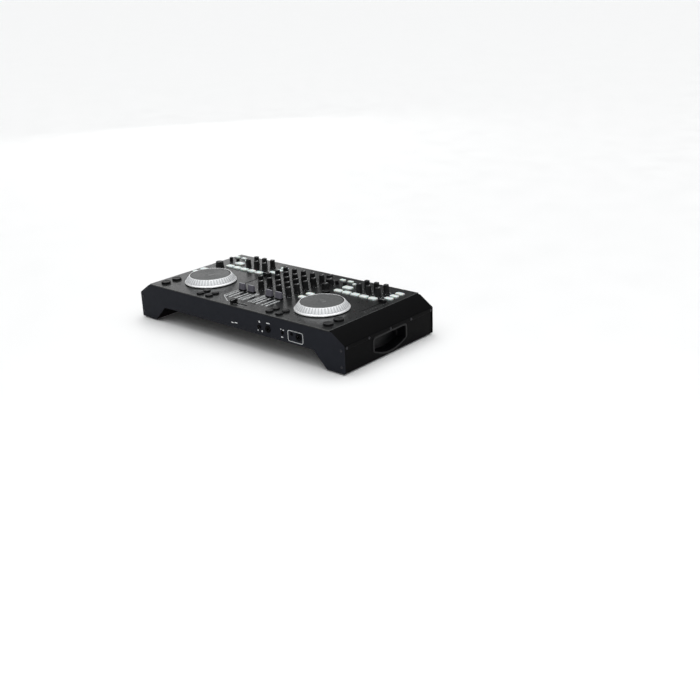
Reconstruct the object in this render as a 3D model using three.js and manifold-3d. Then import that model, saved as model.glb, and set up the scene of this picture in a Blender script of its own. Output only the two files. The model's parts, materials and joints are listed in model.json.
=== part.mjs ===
// Two-deck mixing controller: a low desktop console that bridges a laptop on two hollow legs.
// Millimetres. +X to the right, +Y to the back, +Z up. The origin is the middle of the
// footprint on the surface that the feet stand on.
import * as THREE from 'three';
import { mergeVertices } from 'three/addons/utils/BufferGeometryUtils.js';
import Module from 'manifold-3d';

const wasm = await Module();
wasm.setup();

// ---- case ---------------------------------------------------------------------------------
const WIDTH = 680;
const DEPTH = 318;
const GAP = 0.4;                     // clearance between neighbouring pieces
const SHEET = 2.5;                   // thickness of the panel, end plates and side panels
const PANEL = { top: 94.5, bottom: 92, halfWidth: 299.5, depth: 317.6 };
const SHOULDER_LOW = 67;             // lower edge of the sloping cheek
const LIP = { low: 57, thickness: 3, slopeDepth: 3.6 };   // the cheek's vertical lip
const FOOT_HEIGHT = 3.5;             // underside of the legs above the table
const LEG_WIDTH = 52;
const BAY = { halfWidth: 250, roof: 41 };                 // laptop bay between the legs
const TRAY = { sheet: 2, sideGap: 4.5 };
const HANDLE = { half: 56, top: 53, corner: 24, bottom: 11, depth: 26, wall: 2 };
const REAR_BAY = { z: 66, width: 190, height: 26, depth: 11, wall: 2 };
const SOCKETS = { z: 60, wall: 3.4, bushing: 22, bore: 20 };
const FRONT_SOCKETS = [{ x: 113.5, radius: 3.3 }, { x: 208, radius: 3.3 }, { x: 85.5, radius: 1.9 }];
const FEET = { radius: 11, y: 120, stripWidth: 10, stripThickness: 1 };

// ---- controls -----------------------------------------------------------------------------
const DECK_X = 187;                  // centre of each deck from the middle
const JOG = { y: -55, radius: 65, discRadius: 50.1, bottom: 96.2, top: 112.8, hub: 9, hole: 11, recess: 3.2 };
const KNOB = { skirt: 8, grip: 7, tip: 6.3, top: 116.5 };
const PHONES_KNOB = { skirt: 10.2, grip: 9.6, tip: 8.8, top: 110 };
const BROWSE_KNOB = { skirt: 9, grip: 8.5, tip: 7.8, top: 109.5 };
const LOOP_KNOB = { skirt: 11, grip: 10.4, tip: 9.4, top: 110 };
const SHAFT = { radius: 3, end: 82, hole: 4.2 };
const KNOB_FLOAT = 0.6;              // knob skirt above the panel
const KNOB_SKIRT_HEIGHT = 3;

const MIXER_PITCH = 30.5;
const MIXER_COLUMNS = [[-2, 'channel1'], [-1, 'channel2'], [0, 'master'], [1, 'channel3'], [2, 'channel4']];
const MIXER_ROWS = [-3.5, 26, 55.5, 85];
const MASTER_ROWS = 3;
const FILTER_ROW = -33;
const EFFECT_COLUMNS = [-5, 24, 53]; // from the deck centre
const EFFECT_ROWS = [82, 112];

const CAP_FLOAT = 1;                 // fader caps above the panel
const CHANNEL_CAP = { across: 20, along: 10, height: 18.5, lean: 1.4 };
const LOW_CAP = { across: 18, along: 10, height: 7, lean: 1.4 };
const CROSS_CAP_LENGTH = 9;
const CHANNEL_FADER = { columns: [-2, -1, 1, 2], rest: -66, travel: 45 };
const CROSSFADER = { rest: -14, y: -140, travel: 45 };
const TEMPO = { x: 86, rest: 56, travel: 76 };
const SLOT = { width: 3.4, spare: 15 };
const STEM_WIDTH = 1.6;

const KEY_TOP = PANEL.top + 3;
const KEY_GAP = 0.7;                 // round each key in its panel hole
const ROUND_KEY_SIDES = 14;
const WEB = { top: PANEL.bottom - GAP, thickness: 1.6, width: 6, broad: 14 };

const BOARD = { width: 568, depth: 290, y: -6, top: 74, thickness: 2 };
const PART_TOP = 81;                 // top of the controls' bodies soldered to the board
const PART_WIDTH = 10;

const INNER_DEPTH = DEPTH - 2 * (SHEET + GAP);
const SIDE_X = WIDTH / 2 - 1.5;      // outer face of the side panels
const SIDES = [['left', -1], ['right', 1]];

// ---- materials ----------------------------------------------------------------------------
function finish(color, roughness, metalness = 0) {
  return new THREE.MeshStandardMaterial({ color, roughness, metalness });
}
const BLACK_PANEL = finish(0x24262a, 0.35, 0.3);
const BLACK_CASE = finish(0x0e0e10, 0.6);
const END_PLATE = finish(0x23262d, 0.45, 0.4);
const SILVER = finish(0xc9ccd1, 0.25, 0.9);
const GREY_DISC = finish(0x5f6263, 0.5, 0.4);
const BLACK_KNOB = finish(0x0b0b0c, 0.55);
const CAP_GREY = finish(0x3b3a42, 0.5);
const KEY_WHITE = finish(0xdfe6e2, 0.45);
const BOARD_GREEN = finish(0x17402c, 0.5);
const RUBBER = finish(0x141414, 0.9);

const group = new THREE.Group();

function addMesh(name, geometry, material) {
  geometry.computeVertexNormals();
  const mesh = new THREE.Mesh(geometry, material);
  mesh.name = name;
  group.add(mesh);
}

// ---- solids -------------------------------------------------------------------------------
function toSolid(geometry) {
  const bare = geometry.clone();
  bare.deleteAttribute('normal');
  bare.deleteAttribute('uv');
  const merged = mergeVertices(bare, 1e-4);
  return new wasm.Manifold(new wasm.Mesh({
    numProp: 3,
    vertProperties: new Float32Array(merged.attributes.position.array),
    triVerts: new Uint32Array(merged.index.array),
  }));
}

function toGeometry(solid) {
  const mesh = solid.getMesh();
  const geometry = new THREE.BufferGeometry();
  geometry.setAttribute('position', new THREE.BufferAttribute(new Float32Array(mesh.vertProperties), 3));
  geometry.setIndex(new THREE.BufferAttribute(new Uint32Array(mesh.triVerts), 1));
  return geometry;
}

const joined = solids => solids.reduce((all, next) => all.add(next));

// A box from its middle in x and y, its size, and its lowest and highest z.
function boxAt(x, y, width, depth, low, high) {
  return new THREE.BoxGeometry(width, depth, high - low).translate(x, y, (low + high) / 2);
}

// An upright turned piece: [radius, z] pairs from the axis back to the axis.
function turned(profile, sides, x = 0, y = 0) {
  const points = profile.map(([radius, z]) => new THREE.Vector2(radius, z));
  return new THREE.LatheGeometry(points, sides).rotateX(Math.PI / 2).translate(x, y, 0);
}

function post(x, y, radius, low, high, sides = 16) {
  return turned([[0, low], [radius, low], [radius, high], [0, high]], sides, x, y);
}

// A post that lies along y, from its front face backwards.
function barrel(x, z, radius, front, length) {
  return new THREE.CylinderGeometry(radius, radius, length, 16).translate(x, front + length / 2, z);
}

function outline(points) {
  return new THREE.Shape(points.map(([u, v]) => new THREE.Vector2(u, v)));
}

function extruded(section, length) {
  return new THREE.ExtrudeGeometry(section, { depth: length, bevelEnabled: false, curveSegments: 8 });
}

// A section drawn in x and z, run along y from one depth to the other.
function alongY(section, from, to) {
  return extruded(section, to - from).rotateX(Math.PI / 2).translate(0, to, 0);
}

// A section drawn in y and z, run along x.
function alongX(section, from, to) {
  return extruded(section, to - from).rotateX(Math.PI / 2).rotateZ(Math.PI / 2).translate(from, 0, 0);
}

const mirrored = points => points.map(([x, z]) => [-x, z]).reverse();

// ---- layout of the keys -------------------------------------------------------------------
const rectKey = (x, y, width, depth) => ({ x, y, width, depth, top: KEY_TOP });
const roundKey = (x, y, radius, rise = 0) => ({ x, y, radius, top: KEY_TOP + rise });

// The keys of one deck. Both decks have the same grid, and their front keys are mirrored.
function deckKeys(side) {
  const keys = [-2, -1, 0, 1, 2].map(i => rectKey(26.5 * i, 62, 23, 16));
  keys.push(rectKey(-49, 92, 27, 18));
  for (const y of [82.5, 103, 124]) keys.push(rectKey(84, y, 22, 14));
  for (const y of [5, -22]) keys.push(rectKey(-91.5, y, 22, 15));
  for (const x of [-99, -74]) keys.push(rectKey(x, 132, 16, 10));
  keys.push(rectKey(-53, 121, 9, 9));
  for (const x of [-93.5, -68]) keys.push(roundKey(x, 103.5, 4.4, 6));
  if (side > 0) keys.push(roundKey(-70, 38, 9, 2));
  for (const dx of [-15.5, 15.5]) {
    for (const dy of [-10.3, 10.3]) keys.push(roundKey(side * -70 + dx, dy - 128.5, 9.2, 0.5));
  }
  for (const y of [-95, -129.5]) keys.push(roundKey(side * 84, y, 11.5, 1.5));
  return keys.map(key => ({ ...key, x: key.x + side * DECK_X }));
}

// Strips of the key mat under the panel: the ends of each from the deck centre, and its width.
function webStrips(side) {
  const reach = side < 0 ? 90 : 84;
  const plain = [
    [[-81, 62], [53, 62]], [[53, 66], [84, 66]], [[84, 66], [84, 124]], [[-66, 62], [-66, 132]],
    [[-99, 132], [-66, 132]], [[-66, 121], [-53, 121]], [[-93.5, 103.5], [-66, 103.5]],
    [[-66, 92], [-49, 92]], [[-81, 5], [-81, 62]], [[-91.5, 5], [-81, 5]],
    [[-91.5, 5], [-91.5, -129]], [[side * 84, -129], [side * 84, -95]],
  ].map(([from, to]) => ({ from, to, width: WEB.width }));
  return [...plain, { from: [-91.5, -129], to: [reach, -129], width: WEB.broad }];
}

// ---- knobs --------------------------------------------------------------------------------
const knobs = [];
for (const [column, owner] of MIXER_COLUMNS) {
  const rows = owner === 'master' ? MIXER_ROWS.slice(0, MASTER_ROWS) : MIXER_ROWS;
  rows.forEach((y, row) => {
    knobs.push({ name: `${owner}_knob_${row + 1}`, x: column * MIXER_PITCH, y, kind: KNOB });
  });
}
for (const [column, owner] of [[-1, 'channel2'], [2, 'channel4']]) {
  knobs.push({ name: `${owner}_filter_knob`, x: column * MIXER_PITCH, y: FILTER_ROW, kind: KNOB });
}
for (const [word, side] of SIDES) {
  EFFECT_ROWS.forEach((y, row) => EFFECT_COLUMNS.forEach((x, column) => {
    const number = EFFECT_COLUMNS.length * row + column + 1;
    knobs.push({ name: `${word}_effect_knob_${number}`, x: side * DECK_X + x, y, kind: KNOB });
  }));
}
knobs.push({ name: 'left_loop_knob', x: -260, y: 43, kind: LOOP_KNOB });
knobs.push({ name: 'browse_knob', x: 98, y: 57, kind: BROWSE_KNOB });
knobs.push({ name: 'phones_level_knob', x: 84, y: 88, kind: PHONES_KNOB });

for (const { name, x, y, kind } of knobs) {
  const bottom = PANEL.top + KNOB_FLOAT;
  const profile = [
    [0, SHAFT.end], [SHAFT.radius, SHAFT.end], [SHAFT.radius, bottom], [kind.skirt, bottom],
    [kind.grip, bottom + KNOB_SKIRT_HEIGHT], [kind.tip, kind.top], [0, kind.top],
  ];
  addMesh(name, turned(profile, 12, x, y), BLACK_KNOB);
}

// ---- jog wheels: a ribbed rim on its hub, and the touch disc in its recess -------------------
for (const [word, side] of SIDES) {
  const x = side * DECK_X;
  const seat = JOG.top - JOG.recess;
  const hubEnd = PART_TOP + 2.5;
  const wall = JOG.discRadius + 0.6;
  const rimProfile = [
    [0, hubEnd], [JOG.hub, hubEnd], [JOG.hub, JOG.bottom], [JOG.radius - 1.2, JOG.bottom],
    [JOG.radius, JOG.bottom + 1], [JOG.radius, JOG.bottom + 2.6], [wall + 0.6, JOG.top],
    [wall, JOG.top], [wall, seat], [0, seat],
  ];
  addMesh(`${word}_jog_rim`, turned(rimProfile, 36, x, JOG.y), SILVER);
  addMesh(`${word}_jog_disc`, post(x, JOG.y, JOG.discRadius, seat + GAP, JOG.top - 0.2, 36), GREY_DISC);
}

// ---- fader caps ---------------------------------------------------------------------------
// Section across the slot: a stem that hangs through the slot, and the cap on it.
function capSection({ across, height, lean }, middle) {
  const low = PANEL.top + CAP_FLOAT;
  const half = [
    [STEM_WIDTH / 2, PART_TOP + 1], [STEM_WIDTH / 2, low], [across / 2, low], [across / 2, low + 2],
    [across / 2 - lean, low + height],
  ];
  return outline([...half, ...mirrored(half)].map(([u, z]) => [middle + u, z]));
}

CHANNEL_FADER.columns.forEach((column, index) => {
  const section = capSection(CHANNEL_CAP, column * MIXER_PITCH);
  const front = CHANNEL_FADER.rest - CHANNEL_CAP.along / 2;
  addMesh(`channel${index + 1}_fader_cap`, alongY(section, front, front + CHANNEL_CAP.along), CAP_GREY);
});
const crossLeft = CROSSFADER.rest - CROSS_CAP_LENGTH / 2;
const crossSection = capSection(LOW_CAP, CROSSFADER.y);
addMesh('crossfader_cap', alongX(crossSection, crossLeft, crossLeft + CROSS_CAP_LENGTH), BLACK_KNOB);
for (const [word, side] of SIDES) {
  const section = capSection(LOW_CAP, side * DECK_X + TEMPO.x);
  const front = TEMPO.rest - LOW_CAP.along / 2;
  addMesh(`${word}_tempo_cap`, alongY(section, front, front + LOW_CAP.along), BLACK_KNOB);
}

// ---- key mats -----------------------------------------------------------------------------
for (const [word, side] of SIDES) {
  const low = WEB.top - WEB.thickness;
  const strips = webStrips(side).map(({ from, to, width }) => toSolid(boxAt(
    side * DECK_X + (from[0] + to[0]) / 2, (from[1] + to[1]) / 2,
    Math.abs(to[0] - from[0]) + width, Math.abs(to[1] - from[1]) + width, low, WEB.top,
  )));
  const keys = deckKeys(side).map(key => toSolid(key.radius
    ? post(key.x, key.y, key.radius, low, key.top, ROUND_KEY_SIDES)
    : boxAt(key.x, key.y, key.width, key.depth, low, key.top)));
  addMesh(`${word}_key_mat`, toGeometry(joined([...strips, ...keys])), KEY_WHITE);
}

// ---- control panel ------------------------------------------------------------------------
// Cutters for the panel's openings, taller than the panel.
const CUT = [PANEL.bottom - 1, PANEL.top + 1];
const rectCut = (x, y, width, depth) => toSolid(boxAt(x, y, width, depth, ...CUT));
const roundCut = (x, y, radius, sides = 16) => toSolid(post(x, y, radius, ...CUT, sides));

const cuts = knobs.map(({ x, y }) => roundCut(x, y, SHAFT.hole, 8));
for (const [, side] of SIDES) {
  cuts.push(roundCut(side * DECK_X, JOG.y, JOG.hole));
  for (const key of deckKeys(side)) {
    cuts.push(key.radius
      ? roundCut(key.x, key.y, key.radius + KEY_GAP, ROUND_KEY_SIDES)
      : rectCut(key.x, key.y, key.width + 2 * KEY_GAP, key.depth + 2 * KEY_GAP));
  }
}

// Every fader: the middle of its slot, its travel, and whether it runs along x.
const faders = [{ x: 0, y: CROSSFADER.y, travel: CROSSFADER.travel, sideways: true }];
for (const column of CHANNEL_FADER.columns) {
  const { rest, travel } = CHANNEL_FADER;
  faders.push({ x: column * MIXER_PITCH, y: rest - travel / 2, travel });
}
for (const [, side] of SIDES) {
  faders.push({ x: side * DECK_X + TEMPO.x, y: TEMPO.rest - TEMPO.travel / 2, travel: TEMPO.travel });
}
for (const { x, y, travel, sideways } of faders) {
  const length = travel + SLOT.spare;
  cuts.push(sideways ? rectCut(x, y, length, SLOT.width) : rectCut(x, y, SLOT.width, length));
}
const panelSheet = toSolid(boxAt(0, 0, 2 * PANEL.halfWidth, PANEL.depth, PANEL.bottom, PANEL.top));
addMesh('top_panel', toGeometry(panelSheet.subtract(joined(cuts))), BLACK_PANEL);

// ---- main board with the controls' bodies soldered to it ------------------------------------
const boardSheet = boxAt(0, BOARD.y, BOARD.width, BOARD.depth, BOARD.top - BOARD.thickness, BOARD.top);
const onBoard = [BOARD.top - 1, PART_TOP];
const boardParts = [toSolid(boardSheet)];
for (const { x, y } of knobs) boardParts.push(toSolid(boxAt(x, y, PART_WIDTH, PART_WIDTH, ...onBoard)));
for (const { x, y, travel, sideways } of faders) {
  const length = travel + SLOT.spare;
  const [width, depth] = sideways ? [length, PART_WIDTH] : [PART_WIDTH, length];
  boardParts.push(toSolid(boxAt(x, y, width, depth, ...onBoard)));
}
for (const [, side] of SIDES) {
  boardParts.push(toSolid(post(side * DECK_X, JOG.y, JOG.hub + 5, BOARD.top - 1, PART_TOP + 2)));
}
addMesh('main_board', toGeometry(joined(boardParts)), BOARD_GREEN);

// ---- end plates ---------------------------------------------------------------------------
// Silhouette of the front and rear plates: flat top, sloping shoulders, two legs, laptop bay.
const shoulderSlope = (WIDTH / 2 - PANEL.halfWidth) / (PANEL.top - SHOULDER_LOW);
const plateTop = PANEL.bottom - GAP;
const legInner = WIDTH / 2 - LEG_WIDTH;
const plateHalf = [
  [PANEL.halfWidth + (PANEL.top - plateTop) * shoulderSlope, plateTop], [WIDTH / 2, SHOULDER_LOW],
  [WIDTH / 2, FOOT_HEIGHT], [legInner, FOOT_HEIGHT], [BAY.halfWidth, BAY.roof],
];
const endPlate = outline([...plateHalf, ...mirrored(plateHalf)]);

// Front plate with a blind bushing behind it for each socket.
const frontFace = -DEPTH / 2;
const bushings = FRONT_SOCKETS.map(({ x, radius }) => (
  toSolid(barrel(x, SOCKETS.z, radius + SOCKETS.wall, frontFace + 1, SOCKETS.bushing))));
const bores = FRONT_SOCKETS.map(({ x, radius }) => (
  toSolid(barrel(x, SOCKETS.z, radius, frontFace - 1, SOCKETS.bore + 1))));
const frontSheet = toSolid(alongY(endPlate, frontFace, frontFace + SHEET));
addMesh('front_panel', toGeometry(joined([frontSheet, ...bushings]).subtract(joined(bores))), END_PLATE);

// Rear plate with a recessed bay for the sockets.
const rearFace = DEPTH / 2;
const bayLow = REAR_BAY.z - REAR_BAY.height / 2;
const bayHigh = REAR_BAY.z + REAR_BAY.height / 2;
const tubDepth = REAR_BAY.depth + REAR_BAY.wall - 1;
const tub = boxAt(0, rearFace - 1 - tubDepth / 2, REAR_BAY.width + 2 * REAR_BAY.wall, tubDepth,
  bayLow - REAR_BAY.wall, bayHigh + REAR_BAY.wall);
const hollow = boxAt(0, rearFace - REAR_BAY.depth / 2 + 1, REAR_BAY.width, REAR_BAY.depth + 2,
  bayLow, bayHigh);
const rearSheet = toSolid(alongY(endPlate, rearFace - SHEET, rearFace));
addMesh('rear_panel', toGeometry(rearSheet.add(toSolid(tub)).subtract(toSolid(hollow))), BLACK_CASE);

// ---- bottom tray: one folded sheet for the leg soles and the roof of the laptop bay ----------
const trayReach = WIDTH / 2 - TRAY.sideGap;
const trayOuter = [[trayReach, FOOT_HEIGHT], [legInner, FOOT_HEIGHT], [BAY.halfWidth, BAY.roof]];
const trayInner = [
  [trayReach, FOOT_HEIGHT + TRAY.sheet], [legInner + 1, FOOT_HEIGHT + TRAY.sheet],
  [BAY.halfWidth + 1, BAY.roof + TRAY.sheet],
];
const traySection = outline([
  ...trayOuter, ...mirrored(trayOuter), ...trayInner.map(([x, z]) => [-x, z]), ...trayInner.reverse(),
]);
addMesh('bottom_tray', alongY(traySection, -INNER_DEPTH / 2, INNER_DEPTH / 2), BLACK_CASE);

// ---- cheeks: the sloping shoulder covers with their vertical lips ---------------------------
for (const [word, side] of SIDES) {
  const top = PANEL.halfWidth + GAP;
  const crest = PANEL.top - 0.3;
  const lipInner = WIDTH / 2 - LIP.thickness;
  const section = outline([
    [top, crest], [WIDTH / 2, SHOULDER_LOW], [WIDTH / 2, LIP.low], [lipInner, LIP.low],
    [lipInner, SHOULDER_LOW - LIP.thickness / 2], [top, crest - LIP.slopeDepth],
  ].map(([x, z]) => [side * x, z]));
  addMesh(`${word}_cheek`, alongY(section, -INNER_DEPTH / 2, INNER_DEPTH / 2), BLACK_CASE);
}

// ---- side panels, each with a moulded D-shaped hand recess ----------------------------------
function handleOutline(grow) {
  const half = HANDLE.half + grow;
  const shape = new THREE.Shape();
  shape.moveTo(-half, HANDLE.top + grow);
  shape.lineTo(-half, HANDLE.corner);
  shape.quadraticCurveTo(0, 2 * (HANDLE.bottom - grow) - HANDLE.corner, half, HANDLE.corner);
  shape.lineTo(half, HANDLE.top + grow);
  return shape;
}

for (const [word, side] of SIDES) {
  const inward = (start, end) => [side * (SIDE_X - start), side * (SIDE_X - end)].sort((a, b) => a - b);
  const skinHalf = [[INNER_DEPTH / 2, FOOT_HEIGHT], [INNER_DEPTH / 2, LIP.low - GAP]];
  const sheet = toSolid(alongX(outline([...skinHalf, ...mirrored(skinHalf)]), ...inward(0, SHEET)));
  const cup = toSolid(alongX(handleOutline(HANDLE.wall), ...inward(1, HANDLE.depth + HANDLE.wall)));
  const recess = toSolid(alongX(handleOutline(0), ...inward(-2, HANDLE.depth)));
  addMesh(`${word}_side_panel`, toGeometry(sheet.add(cup).subtract(recess)), BLACK_CASE);
}

// ---- rubber feet: two round pads on one strip under each leg --------------------------------
for (const [word, side] of SIDES) {
  const x = side * (WIDTH / 2 - LEG_WIDTH / 2);
  const top = FOOT_HEIGHT - 0.3;
  const strip = toSolid(boxAt(x, 0, FEET.stripWidth, 2 * FEET.y, top - FEET.stripThickness, top));
  const pads = [-FEET.y, FEET.y].map(y => toSolid(post(x, y, FEET.radius, 0, top)));
  addMesh(`${word}_foot_strip`, toGeometry(joined([strip, ...pads])), RUBBER);
}

export default group;
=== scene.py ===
"""Looks of the two-deck mixing controller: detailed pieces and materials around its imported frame.

Shapes are worked out in millimetres in the frame's own axes: +X to the user's right, +Y to the
back, +Z up. They become metres when a piece is made.
"""

import json
import math

import bmesh
import bpy
from mathutils import Euler, Matrix, Vector


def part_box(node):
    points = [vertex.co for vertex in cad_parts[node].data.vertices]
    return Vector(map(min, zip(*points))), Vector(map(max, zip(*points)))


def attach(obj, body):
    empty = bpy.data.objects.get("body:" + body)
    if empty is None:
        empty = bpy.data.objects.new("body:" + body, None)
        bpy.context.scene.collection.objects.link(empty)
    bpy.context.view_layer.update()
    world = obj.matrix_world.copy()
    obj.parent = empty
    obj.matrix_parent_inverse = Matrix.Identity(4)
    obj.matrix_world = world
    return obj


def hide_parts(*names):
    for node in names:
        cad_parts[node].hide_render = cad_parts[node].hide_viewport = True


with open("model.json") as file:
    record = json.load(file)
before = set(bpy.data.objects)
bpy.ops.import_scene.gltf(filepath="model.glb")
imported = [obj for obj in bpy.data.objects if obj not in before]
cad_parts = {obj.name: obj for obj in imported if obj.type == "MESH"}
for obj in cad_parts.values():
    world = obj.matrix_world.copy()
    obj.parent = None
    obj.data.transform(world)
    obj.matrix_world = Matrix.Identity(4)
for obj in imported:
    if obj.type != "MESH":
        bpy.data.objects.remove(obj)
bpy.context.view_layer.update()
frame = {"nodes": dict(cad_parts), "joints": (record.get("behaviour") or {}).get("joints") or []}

MM = 0.001
SIDES = (("left", -1), ("right", 1))


# ---- sizes read from the frame ----
def box_mm(node):
    low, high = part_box(node)
    return low / MM, high / MM


def middle(node):
    low, high = box_mm(node)
    return (low + high) / 2


def size(node):
    low, high = box_mm(node)
    return high - low


PANEL_LOW, PANEL_HIGH = box_mm("top_panel")
PANEL_TOP = PANEL_HIGH.z
FRONT_LOW, FRONT_HIGH = box_mm("front_panel")
FRONT_FACE = FRONT_LOW.y
REAR_FACE = box_mm("rear_panel")[1].y
HALF_WIDTH = FRONT_HIGH.x
DECK = {side: middle(f"{word}_jog_rim") for word, side in SIDES}
KNOB_NODES = [n for n in frame["nodes"] if "_knob" in n]

# Knobs that have no body of their own, and the node that each is a copy of.
MIXER_PITCH = middle("channel4_knob_1").x / 2
FIXED_KNOBS = (
    ("master_knob_4", 0, middle("channel1_knob_4").y, "master_knob_1"),
    ("channel3_filter_knob", MIXER_PITCH, middle("channel4_filter_knob").y, "channel4_filter_knob"),
    ("source_knob", 2 * MIXER_PITCH, middle("left_effect_knob_4").y + 2, "browse_knob"),
)

# Sizes of the sheet work, the same as the frame's.
SHEET = 2.5  # thickness of the end and side plates
TRAY_SHEET = 2  # thickness of the bottom tray
SHOULDER_LOW = 67  # height where the sloping shoulders begin
LEG_WIDTH = 52
BAY_HALF_WIDTH = 250  # of the laptop bay, at its roof
BAY_ROOF = 41
HAND_RECESS = {"half": 56, "top": 53, "corner": 24, "bottom": 11, "depth": 26}
REAR_BAY = {"half_width": 95, "low": 53, "high": 79, "depth": 11}
EDGE = 0.35  # bevel of a cut sheet edge

KNOB_HOLE = 4.2  # radius
HUB_HOLE = 11  # radius
HOLE_SIDES = 24
FADER_SLOT = 3.4  # width
SLOT_SPARE = 15  # slot length beyond the travel of its stem
STEM_WIDTH = 1.6  # of the fader caps' stems
KEY_GAP = 0.7  # between a key and its hole
KEY_RISE = 3  # key tops above the panel
KEY_ROOT = -6  # lower ends of the keys, under the panel's top
KEY_CORNER = 0.38  # share of a key's smaller side that its corners take
PRINT_HEIGHT = 0.06


# ---- outlines ----
def spread(low, high, count):
    """Evenly spaced values from low to high, with both ends."""
    return [low + (high - low) * i / (count - 1) for i in range(count)]


def circle(x, y, radius, count=32):
    angles = [2 * math.pi * i / count for i in range(count)]
    return [(x + radius * math.cos(a), y + radius * math.sin(a)) for a in angles]


def arc(x, y, radius, start, end, count):
    """Points on an arc, its angles in degrees."""
    angles = [math.radians(a) for a in spread(start, end, count)]
    return [(x + radius * math.cos(a), y + radius * math.sin(a)) for a in angles]


def rounded(corners, radius, steps=5):
    """A closed outline whose corners are bent over a length of radius to each side."""
    points = []
    for i, corner in enumerate(corners):
        here = Vector(corner)
        before, after = Vector(corners[i - 1]), Vector(corners[(i + 1) % len(corners)])
        reach = min(radius, 0.49 * (before - here).length, 0.49 * (after - here).length)
        start = here + (before - here).normalized() * reach
        end = here + (after - here).normalized() * reach
        for t in spread(0, 1, steps + 1):
            points.append(tuple(start * (1 - t) ** 2 + here * 2 * t * (1 - t) + end * t * t))
    return points


def rectangle(x, y, width, depth, radius, steps=5):
    left, right = x - width / 2, x + width / 2
    front, back = y - depth / 2, y + depth / 2
    return rounded([(left, front), (right, front), (right, back), (left, back)], radius, steps)


def mirrored(points):
    return [(-x, y) for x, y in reversed(points)]


# ---- solids: each function returns (points, faces) in millimetres ----
def lathe(profile, sides, ripple=None):
    """A turned solid from (radius, z) pairs, from axis to axis or closing on itself.
    ripple(radius, z, angle) gives the radius in one direction."""
    points, faces, rows = [], [], []
    for radius, z in profile:
        row = []
        for i in range(1 if radius < 1e-6 else sides):
            angle = 2 * math.pi * i / sides
            reach = ripple(radius, z, angle) if ripple and radius > 1e-6 else radius
            row.append(len(points))
            points.append((reach * math.cos(angle), reach * math.sin(angle), z))
        rows.append(row)
    pairs = list(zip(rows, rows[1:]))
    if len(rows[0]) > 1:
        pairs.append((rows[-1], rows[0]))
    for low, high in pairs:
        for i in range(sides):
            j = (i + 1) % sides
            face = [low[i % len(low)], low[j % len(low)], high[j % len(high)], high[i % len(high)]]
            faces.append(list(dict.fromkeys(face)))  # a row of one point makes a triangle
    return points, [face for face in faces if len(face) > 2]


def loft(rings):
    """A solid through rings of the same number of points, with flat ends."""
    count = len(rings[0])
    points = [point for ring in rings for point in ring]
    faces = [list(range(count)), list(range(len(points) - count, len(points)))]
    for level in range(len(rings) - 1):
        for i in range(count):
            j = (i + 1) % count
            low, high = level * count, (level + 1) * count
            faces.append([low + i, low + j, high + j, high + i])
    return points, faces


def slab(width, depth, low, high, corner=1.0, edge=0.4, crown=0.0):
    """A block on (0, 0) with round corners, a rounded upper edge and a crowned top."""
    narrow = min(width, depth)
    levels = [(0, low), (0, high - edge), (edge * 0.3, high - edge * 0.3), (edge, high)]
    if crown:
        levels += [(narrow * 0.25, high + crown * 0.8), (narrow * 0.4, high + crown)]
    rings = []
    for inset, z in levels:
        radius = max(corner - inset * 0.6, 0.15)
        outline = rectangle(0, 0, width - 2 * inset, depth - 2 * inset, radius)
        rings.append([(x, y, z) for x, y in outline])
    return loft(rings)


def new_object(name, data):
    item = bpy.data.objects.new(name, data)
    bpy.context.scene.collection.objects.link(item)
    return item


def evaluated_mesh(item):
    """The final mesh of an object, which is removed."""
    bpy.context.view_layer.update()
    depsgraph = bpy.context.evaluated_depsgraph_get()
    mesh = bpy.data.meshes.new_from_object(item.evaluated_get(depsgraph))
    bpy.data.objects.remove(item)
    return mesh


def solid_of_curve(curve, place):
    """The points and faces of a filled curve, moved to place. The curve is removed."""
    mesh = evaluated_mesh(new_object(curve.name, curve))
    points = [tuple(vertex.co + Vector(place)) for vertex in mesh.vertices]
    faces = [list(face.vertices) for face in mesh.polygons]
    bpy.data.meshes.remove(mesh)
    bpy.data.curves.remove(curve)
    return points, faces


def plate(outline, holes, low, high, edge=EDGE):
    """A sheet with holes and bevelled edges, flat in x and y."""
    curve = bpy.data.curves.new("plate", "CURVE")
    curve.dimensions = "2D"
    curve.fill_mode = "BOTH"
    curve.extrude = (high - low) / 2 - edge
    curve.bevel_depth = edge
    curve.bevel_resolution = 1
    curve.offset = -edge
    for loop in [outline, *holes]:
        spline = curve.splines.new("POLY")
        spline.points.add(len(loop) - 1)
        for point, (x, y) in zip(spline.points, loop):
            point.co = (x, y, 0, 1)
        spline.use_cyclic_u = True
    return solid_of_curve(curve, (0, 0, (low + high) / 2))


def stroke(line, width, closed=False):
    """A printed line along the points, mitred at its corners and PRINT_HEIGHT high."""
    count = len(line)
    path = [Vector(p) for p in line]
    left, right = [], []
    for i, here in enumerate(path):
        sides = []
        if i > 0 or closed:
            sides.append((here - path[i - 1]).normalized())
        if i < count - 1 or closed:
            sides.append((path[(i + 1) % count] - here).normalized())
        normals = [Vector((-d.y, d.x)) for d in sides]
        mitre = sum(normals, Vector((0, 0))).normalized()
        mitre *= width / 2 / max(mitre.dot(normals[0]), 0.3)
        left.append(here + mitre)
        right.append(here - mitre)
    points = [(p.x, p.y, z) for z in (-PRINT_HEIGHT, PRINT_HEIGHT) for p in left + right]
    faces = []
    top, last = 2 * count, count - 1
    for i in range(count if closed else last):
        j = (i + 1) % count
        a, b, c, d = i, j, count + j, count + i
        faces += [[a, b, c, d], [top + d, top + c, top + b, top + a]]
        faces += [[a, top + a, top + b, b], [d, c, top + c, top + d]]
    if not closed:
        faces.append([0, count, top + count, top])
        faces.append([last, top + last, top + count + last, count + last])
    return points, faces


def turned(degrees, axis="Z"):
    return Matrix.Rotation(math.radians(degrees), 4, axis)


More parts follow.
